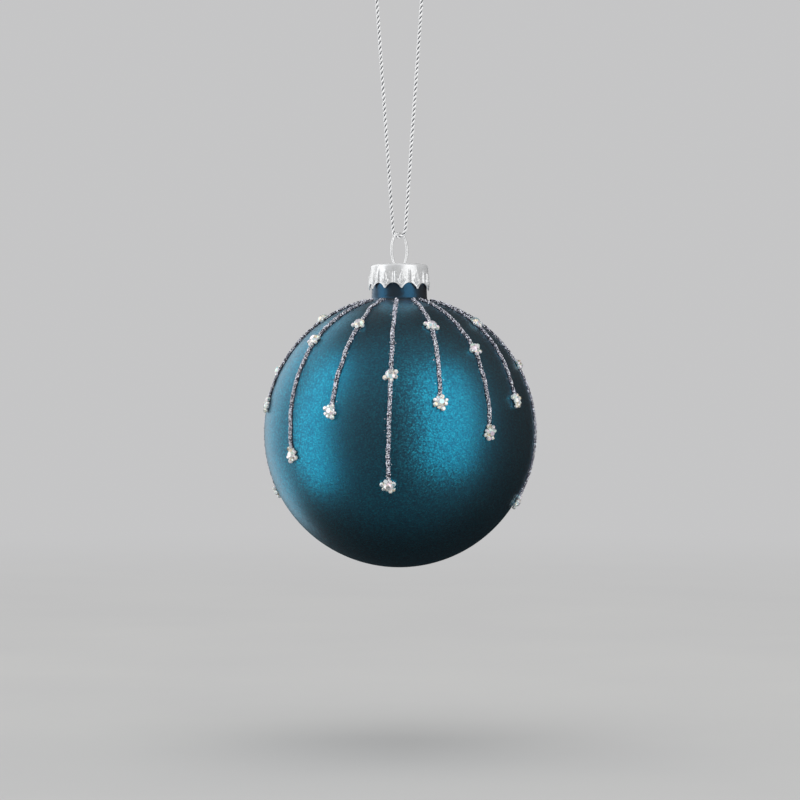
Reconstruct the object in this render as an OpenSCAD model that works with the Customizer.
// Glass ball ornament: a blown glass ball with a pressed sheet crown cap, a springy hanger wire and a
// hanging cord, decorated with sixteen raised glitter lines, each with two clusters of stones.
// Origin: the hang point, on the inside of the cord loop at its top. +Z up, +Y along the branch it
// hangs from. The front faces -Y and +X is to its right.

/* [Cord] */
// Diameter of the twisted cord
cord_d = 1.2; // [1:0.1:1.5]
// Radius of the branch or hook that the cord passes over
branch_r = 7.2; // [5:0.2:8]
// Height from the hang point down to the middle of the cord's lowest bend
cord_drop = 93.7; // [80:0.1:120]
// Half the width of the cord's lowest bend
bight_half = 2.95; // [2.45:0.1:3.45]
// Length of each loose cord tail beyond the knot
tail_l = 9; // [5:0.5:14]

/* [Hanger wire] */
// Diameter of the wire
wire_d = 0.75; // [0.6:0.05:0.9]
// Height of the wire's top above the cap
loop_h = 9.4; // [8.6:0.1:10.4]
// Direction of the wire loop, turned from the +X axis
loop_yaw = 40; // [0:5:60]

/* [Crown cap] */
// Radius of the cap at its shoulder
cap_top_r = 8.5; // [8.4:0.05:8.8]
// Radius of the cap at the points of its skirt
cap_skirt_r = 8.9; // [8.8:0.05:9.2]
// Height of the cap from its top to the points of its skirt
cap_h = 7.4; // [6.4:0.1:7.6]
// Thickness of the pressed sheet
cap_t = 0.3; // [0.25:0.05:0.35]
// Number of arches round the skirt
arches = 11; // [9:1:14]
// Depth of each arch
arch_depth = 1.7; // [1.2:0.1:2]
// Radius of the two wire holes in the cap
wire_hole_r = 0.65; // [0.6:0.05:0.8]

/* [Glass ball] */
// Diameter of the ball
ball_d = 80; // [76:1:84]
// Thickness of the glass
glass_t = 0.7; // [0.6:0.1:1]
// Outer radius of the neck where it meets the ball
neck_r = 8.25; // [8.2:0.05:8.3]
// Outer radius of the neck at its rim
neck_rim_r = 7.95; // [7.8:0.05:8]
// Radius of the rounded corner between the neck and the ball
neck_fillet = 1.2; // [0.8:0.1:1.6]

/* [Decoration] */
// Width of a glitter line
line_w = 2.1; // [1.6:0.1:2.4]
// Height of a glitter line above the glass
line_h = 0.8; // [0.6:0.05:0.9]
// Diameter of a centre stone at the end of a line
end_stone_d = 2.6; // [2.4:0.1:3]
// Diameter of a centre stone part way down a line
mid_stone_d = 3; // [2.6:0.1:3.2]
// Diameter of a small bead
bead_d = 1.3; // [1.1:0.05:1.3]
// Beads in the ring round each end stone
ring_beads = 8; // [6:1:8]

/* [Hidden] */
LINES = 16;

gap = 0.02;                         // air left between pieces that only touch
cord_r = cord_d / 2;
wire_r = wire_d / 2;
ball_r = ball_d / 2;
branch_z = -branch_r;               // middle of the branch
bight_z = -cord_drop;               // middle of the cord's lowest bend
apex_z = bight_z + cord_r + wire_r + gap;   // middle of the wire at its top
cap_z = apex_z - loop_h;            // top face of the cap
neck_h = 9.4;                       // from the top of the ball's sphere to the underside of the cap
ball_z = cap_z - cap_t - neck_h - ball_r;   // middle of the ball

// ---------- helpers ----------

function unit(v) = v / norm(v);
function reversed(list) = [for (i = [len(list) - 1 : -1 : 0]) list[i]];

// arc of round bar in the XZ plane, centred on the origin, between two angles above +X
module bar_arc(bend_r, bar_r, from, to)
    rotate([90, 0, 0]) rotate([0, 0, from])
        rotate_extrude(angle = to - from, $fn = 96)
            translate([bend_r, 0]) circle(r = bar_r, $fn = 32);

// straight round bar between two points
module bar(start, end, bar_r) {
    span = end - start;
    translate(start) rotate([0, acos(span.z / norm(span)), atan2(span.y, span.x)])
        cylinder(r = bar_r, h = norm(span), $fn = 32);
}

// points round one place on a path; side 0 of every ring faces the same way
function ring_points(path, i, tube_r, normal, sides) =
    let (last = len(path) - 1,
         along = unit(path[min(i + 1, last)] - path[max(i - 1, 0)]),
         across = unit(cross(along, normal)),
         up = cross(across, along))
    [for (k = [0 : sides - 1])
        path[i] + tube_r * (cos(360 * k / sides) * across + sin(360 * k / sides) * up)];

// closed tube along a list of points in a plane roughly square to the normal
module tube(path, tube_r, normal, sides = 12) {
    rings = len(path);
    points = [for (i = [0 : rings - 1]) each ring_points(path, i, tube_r, normal, sides)];
    start_face = [for (k = [0 : sides - 1]) k];
    side_faces = [for (i = [0 : rings - 2], k = [0 : sides - 1])
        let (here = i * sides + k, next = i * sides + (k + 1) % sides)
        [here, here + sides, next + sides, next]];
    end_face = [for (k = [sides - 1 : -1 : 0]) (rings - 1) * sides + k];
    polyhedron(points, concat([start_face], side_faces, [end_face]), convexity = 6);
}

// ---------- cord ----------

top_arc_r = branch_r + cord_r;      // middle of the cord over the branch
bight_out = [sin(loop_yaw), -cos(loop_yaw), 0];     // across the lowest bend, square to the wire loop
bight_normal = [cos(loop_yaw), sin(loop_yaw), 0];
bight_top = bight_z + bight_half;   // height where the strands meet the lowest bend

// The strands come straight off the branch and lean in towards the narrow bend below.
lean = atan((top_arc_r - bight_half * sin(loop_yaw)) / (cord_drop - branch_r - bight_half));
leave = [top_arc_r * cos(lean), 0, branch_z - top_arc_r * sin(lean)];   // right strand's top
meet = bight_half * bight_out + [0, 0, bight_top];                      // right strand's foot
arc_room = cord_r + 0.06;           // length the top arc stops short of each strand's top

// places along a strand, as a share of its length
strand_end = 0.48;                  // where the upper half stops
bight_from = strand_end + 0.004;    // where the lower half starts
bight_share = 1 - strand_end - 0.03;    // how much of the strand the lower half takes up
strand_steps = 14;
bend_steps = 24;

knot_r = 1.75;
knot_z = branch_z + top_arc_r + cord_r + knot_r + 0.05;
tail_tilt = 28;

// point on the right strand, and the matching point on the left one
function strand(share) = leave + (meet - leave) * share;
function turned(point) = [-point.x, -point.y, point.z];

// the cord over the branch
module cord_top_arc() color("silver") {
    room_angle = arc_room / top_arc_r * 180 / PI;
    translate([0, 0, branch_z])
        bar_arc(top_arc_r, cord_r, room_angle - lean, 180 + lean - room_angle);
}

// round knot just above the cord, with two tails
module cord_knot() color("silver") {
    translate([0, 0, knot_z]) {
        sphere(r = knot_r, $fn = 48);
        for (side = [-1, 1]) rotate([0, tail_tilt * side, 0])
            cylinder(r = cord_r, h = knot_r + tail_l, $fn = 32);
    }
}

// upper half of the right strand, with a round top
module one_strand() {
    bar(strand(0), strand(strand_end), cord_r);
    translate(strand(0)) sphere(r = cord_r, $fn = 32);
}

module cord_strands() color("silver") {
    one_strand();
    rotate([0, 0, 180]) one_strand();
}

// down the right strand, round the lowest bend and up the left strand
function bight_path() =
    let (right = [for (i = [0 : strand_steps]) strand(bight_from + bight_share * i / strand_steps)],
         bend = [for (i = [1 : bend_steps - 1])
             let (angle = 180 * i / bend_steps)
             bight_half * cos(angle) * bight_out + [0, 0, bight_top - bight_half * sin(angle)]],
         left = [for (point = reversed(right)) turned(point)])
    concat(right, bend, left);

module cord_bight() color("silver") tube(bight_path(), cord_r, bight_normal);

// ---------- hanger wire ----------

apex_flat = 0.65;                   // half of the short straight on top
apex_r = 1.25;                      // tight bend at the top
apex_turn = 57;                     // how far the tight bend turns down
side_r = 8.05;                      // long bend of each side
side_in = 34;                       // how far each side has turned inwards where it enters the cap
leg_r = 3;                          // bend back outwards below the cap
leg_out = 27;                       // how far the legs spread from straight down
leg_l = 18;                         // straight springy leg
hook_r = 1.4;                       // rounded end, curled inwards
hook_turn = 120;

// middles of the bends and ends of the parts on the +X side, as [across, height] in the wire's plane
apex_end = [apex_flat, apex_z];
apex_mid = apex_end - [0, apex_r];
side_start = apex_mid + apex_r * [sin(apex_turn), cos(apex_turn)];
side_mid = side_start - side_r * [sin(apex_turn), cos(apex_turn)];
side_end = side_mid + side_r * [cos(side_in), -sin(side_in)];
leg_mid = side_end + leg_r * [cos(side_in), -sin(side_in)];
leg_start = leg_mid - leg_r * [cos(leg_out), sin(leg_out)];
leg_end = leg_start + leg_l * [sin(leg_out), -cos(leg_out)];
hook_mid = leg_end - hook_r * [cos(leg_out), sin(leg_out)];

function in_xz(point) = [point.x, 0, point.y];

// The parts of the wire run into one another inside a ball a hair thicker than the wire.
module wire_join(point) translate(in_xz(point)) sphere(r = wire_r + 0.008, $fn = 32);

module wire_bend(middle, bend_r, from, to)
    translate(in_xz(middle)) bar_arc(bend_r, wire_r, from, to);

module wire_side() {
    for (point = [apex_end, side_start, side_end, leg_start, leg_end]) wire_join(point);
    wire_bend(apex_mid, apex_r, 90 - apex_turn, 90);
    wire_bend(side_mid, side_r, -side_in, 90 - apex_turn);
    wire_bend(leg_mid, leg_r, 180 - side_in, 180 + leg_out);
    bar(in_xz(leg_start), in_xz(leg_end), wire_r);
    wire_bend(hook_mid, hook_r, leg_out - hook_turn, leg_out);
}

module hanger_wire() color("gainsboro") rotate([0, 0, loop_yaw]) {
    bar([-apex_flat, 0, apex_z], [apex_flat, 0, apex_z], wire_r);
    wire_side();
    rotate([0, 0, 180]) wire_side();
}

// ---------- crown cap ----------

shoulder_r = 0.8;                   // outer radius of the rounded shoulder
arch_yaw = 4.2;                     // turn of the whole skirt
arch_half = cap_skirt_r * sin(180 / arches) - 0.12;     // leaves a narrow point between arches
arch_r = (arch_half * arch_half + arch_depth * arch_depth) / (2 * arch_depth);
cutter_l = 4;                       // length of the arch and hole cutters

// points round the shoulder, from the top face outwards
function shoulder(round_r) = [for (angle = [0 : 15 : 90])
    [cap_top_r - shoulder_r + round_r * sin(angle), -shoulder_r + round_r * cos(angle)]];

module cap_profile() polygon(concat(
    [[0, -cap_t], [0, 0]],
    shoulder(shoulder_r),
    [[cap_skirt_r, -cap_h], [cap_skirt_r - cap_t, -cap_h]],
    reversed(shoulder(shoulder_r - cap_t))));

module crown_cap() color("silver") translate([0, 0, cap_z]) difference() {
    rotate_extrude($fn = 128) cap_profile();
    for (i = [0 : arches - 1])
        rotate([0, 0, arch_yaw + (i + 0.5) * 360 / arches])
            translate([0, -cap_top_r + 1, -cap_h + arch_depth - arch_r])
                rotate([90, 0, 0]) cylinder(r = arch_r, h = cutter_l, $fn = 48);
    rotate([0, 0, loop_yaw]) for (side = [-1, 1])
        translate([side * side_end.x, 0, -cutter_l / 2])
            cylinder(r = wire_hole_r, h = cutter_l, $fn = 32);
}

// ---------- glass ball ----------
// Heights here are above the middle of the ball.

rim_z = cap_z - cap_t - 0.5 - ball_z;       // neck's rim, a little below the cap's underside
junction_z = sqrt(ball_r * ball_r - neck_r * neck_r);   // where the neck would meet the ball
neck_core_r = 5;                    // inside of the solid neck, which the bore removes
neck_root_r = ball_r - 0.4;         // how deep the neck runs into the ball's wall
bore_extra = 4;                     // how far the bore runs past the junction and the rim

// middle of the rounded corner, its round set slightly into the ball so that the two overlap
fillet_x = neck_r + neck_fillet;
fillet_away = ball_r + neck_fillet - 0.12;
fillet_z = sqrt(fillet_away * fillet_away - fillet_x * fillet_x);
fillet_low = asin(fillet_x / fillet_away);  // from straight down to the corner's lowest point
fillet_steps = 8;

// place something made at the ball's middle
module at_ball() { translate([0, 0, ball_z]) children(); }

// neck with its rounded corner
module neck() rotate_extrude($fn = 160) polygon(concat(
    [[neck_core_r, junction_z - 3],
     [fillet_x * neck_root_r / fillet_away, fillet_z * neck_root_r / fillet_away]],
    [for (k = [0 : fillet_steps])
        let (angle = fillet_low + (90 - fillet_low) * k / fillet_steps)
        [fillet_x - neck_fillet * sin(angle), fillet_z - neck_fillet * cos(angle)]],
    [[neck_rim_r, rim_z], [neck_core_r, rim_z]]));

module glass_ball() color("teal") at_ball() difference() {
    union() {
        sphere(r = ball_r, $fn = 160);
        neck();
    }
    sphere(r = ball_r - glass_t, $fn = 160);
    translate([0, 0, junction_z - bore_extra])
        cylinder(r = neck_rim_r - glass_t, h = rim_z - junction_z + 2 * bore_extra, $fn = 96);
}

// ---------- layout of the lines ----------
// Longitude runs from the front (-Y) towards +X. Lines are counted from i = 0, nearest the front.

pitch = 360 / LINES;
front = -4.8;                       // longitude of the first line
start_lat = 74.5;                   // top of every line
// Every fourth line is long, with a medium line half way between two long ones and short ones
// between. Latitudes of the stone part way down and of the end, for long, short, medium, short:
mid_lat = [26, 51.5, 38.5, 51.5];
end_lat = [-26, 11, -5, 11];
// Each line strays a little from the even pattern, as if laid by hand. In degrees:
// [longitude of the stone part way down, longitude of the end, latitude of that stone, of the end]
stray = [
    [1.2, 0, -2.6, 3.8], [2.5, -0.7, -3, 0.8], [0.8, -0.8, -2.4, 4.6], [1.5, -4.5, 1, 2],
    [-1, -2, 3.5, -4.5], [1.5, -1, 1, -1.5], [-2, 1, 1.5, 2], [1, 2, -1.5, 1],
    [2, 0.5, -2, -1.5], [-1.5, -2, 1.5, 2], [1, -1.5, 2, -3], [2, 1.5, -1, 1.5],
    [-2.5, -2, 1, 0.5], [-6, -5, 4, 0.3], [-3.5, -0.3, 2.7, -4.2], [1.2, -1.5, -1.5, -2.7]];

function lon_start(i) = front + pitch * i + 0.6 * stray[i][0] + 3 * sin(137 * i);
function lon_mid(i) = front + pitch * i + stray[i][0];
function lon_end(i) = front + pitch * i + stray[i][1];
function lat_mid(i) = mid_lat[i % 4] + stray[i][2];
function lat_end(i) = end_lat[i % 4] + stray[i][3];

// unit vector outwards at a longitude and latitude
function outward(lon, lat) = [cos(lat) * sin(lon), -cos(lat) * cos(lon), sin(lat)];

// turn +Z outwards and +Y up the ball
module on_ball(lon, lat) { at_ball() rotate([0, 0, lon]) rotate([90 - lat, 0, 0]) children(); }

// ---------- glitter lines ----------

above_stone = mid_stone_d / 2 + 0.1;                // bare lengths beside the stones
below_stone = mid_stone_d / 2 + bead_d + 0.15;
before_ring = end_stone_d / 2 + bead_d + 0.15;

// rounded ridge that sits on the glass
module ridge_profile() {
    round_r = (line_w * line_w / 4 + line_h * line_h) / (2 * line_h);
    intersection() {
        translate([ball_r + gap + line_h - round_r, 0]) circle(r = round_r, $fn = 48);
        translate([ball_r + gap, -line_w]) square([2 * line_h, 2 * line_w]);
    }
}

// ridge on the great circle between two unit vectors, leaving bare lengths at its start and end
module ridge(start, end, bare_start, bare_end) {
    axis = unit(cross(start, end));
    ahead = cross(axis, start);
    per_mm = 180 / PI / ball_r;
    from = bare_start * per_mm;
    to = acos(start * end) - bare_end * per_mm;
    multmatrix([[start.x, ahead.x, axis.x, 0],
                [start.y, ahead.y, axis.y, 0],
                [start.z, ahead.z, axis.z, 0],
                [0, 0, 0, 1]])
        rotate([0, 0, from]) rotate_extrude(angle = to - from, $fn = 160) ridge_profile();
}

module glitter_line(i) color("lightgray") at_ball() {
    middle = outward(lon_mid(i), lat_mid(i));
    ridge(outward(lon_start(i), start_lat), middle, 0, above_stone);
    ridge(middle, outward(lon_end(i), lat_end(i)), below_stone, before_ring);
}

// ---------- stones and beads ----------

// Sizes of a stone as shares of its diameter
stone_lift = 0.02;
drum_share = 0.12;
crown_share = 0.34;
table_share = 0.52;                 // diameter of the flat on top

ring_away = (end_stone_d + bead_d) / 2 + 0.05;      // stone to bead, middle to middle
beside_away = (mid_stone_d + bead_d) / 2 + 0.05;
beside_turns = [62, 118, 180, 238, 300];            // places beside and below a mid stone

// flat-backed stone: a low drum with a bevelled crown
module stone(d) {
    translate([0, 0, ball_r + gap + stone_lift * d]) {
        cylinder(d = d, h = drum_share * d, $fn = 32);
        translate([0, 0, drum_share * d])
            cylinder(d1 = d, d2 = table_share * d, h = crown_share * d, $fn = 32);
    }
}

// one bead beside a stone, its turn measured anticlockwise from up the ball, seen from outside
module bead(lon, lat, away, turn) {
    tilt = (away / (ball_r + bead_d / 2)) * 180 / PI;
    on_ball(lon, lat) rotate([0, 0, turn]) rotate([-tilt, 0, 0])
        translate([0, 0, ball_r + gap + bead_d / 2]) sphere(d = bead_d, $fn = 24);
}

module mid_stones() color("aliceblue")
    for (i = [0 : LINES - 1]) on_ball(lon_mid(i), lat_mid(i)) stone(mid_stone_d);

module end_stones() color("aliceblue")
    for (i = [0 : LINES - 1]) on_ball(lon_end(i), lat_end(i)) stone(end_stone_d);

// Beads fill two of the five places beside every mid stone, and the others on some lines only.
function beside_here(i, k) = [i % 4 == 1, true, i % 3 != 1, true, i % 2 == 0][k];
function beside_turn(i, k) = beside_turns[k] + 6 * sin(83 * i + 47 * k);
module mid_beads() color("lightcyan")
    for (i = [0 : LINES - 1], k = [0 : 4])
        if (beside_here(i, k)) bead(lon_mid(i), lat_mid(i), beside_away, beside_turn(i, k));

// The ring has one bead missing here and there, as a hand-set ring does.
function missing(i, k) = k == (i * 5 + 3) % ring_beads && i % 3 != 1;
function ring_turn(i, k) = 360 / ring_beads * k + 22.5 + 2.5 * sin(97 * i + 61 * k);
module end_beads() color("lightcyan")
    for (i = [0 : LINES - 1], k = [0 : ring_beads - 1])
        if (!missing(i, k)) bead(lon_end(i), lat_end(i), ring_away, ring_turn(i, k));

cord_top_arc();
cord_knot();
cord_strands();
cord_bight();
hanger_wire();
crown_cap();
glass_ball();
glitter_line(0);  // glitter_line_01
glitter_line(1);  // glitter_line_02
glitter_line(2);  // glitter_line_03
glitter_line(3);  // glitter_line_04
glitter_line(4);  // glitter_line_05
glitter_line(5);  // glitter_line_06
glitter_line(6);  // glitter_line_07
glitter_line(7);  // glitter_line_08
glitter_line(8);  // glitter_line_09
glitter_line(9);  // glitter_line_10
glitter_line(10);  // glitter_line_11
glitter_line(11);  // glitter_line_12
glitter_line(12);  // glitter_line_13
glitter_line(13);  // glitter_line_14
glitter_line(14);  // glitter_line_15
glitter_line(15);  // glitter_line_16
mid_stones();
mid_beads();
end_stones();
end_beads();
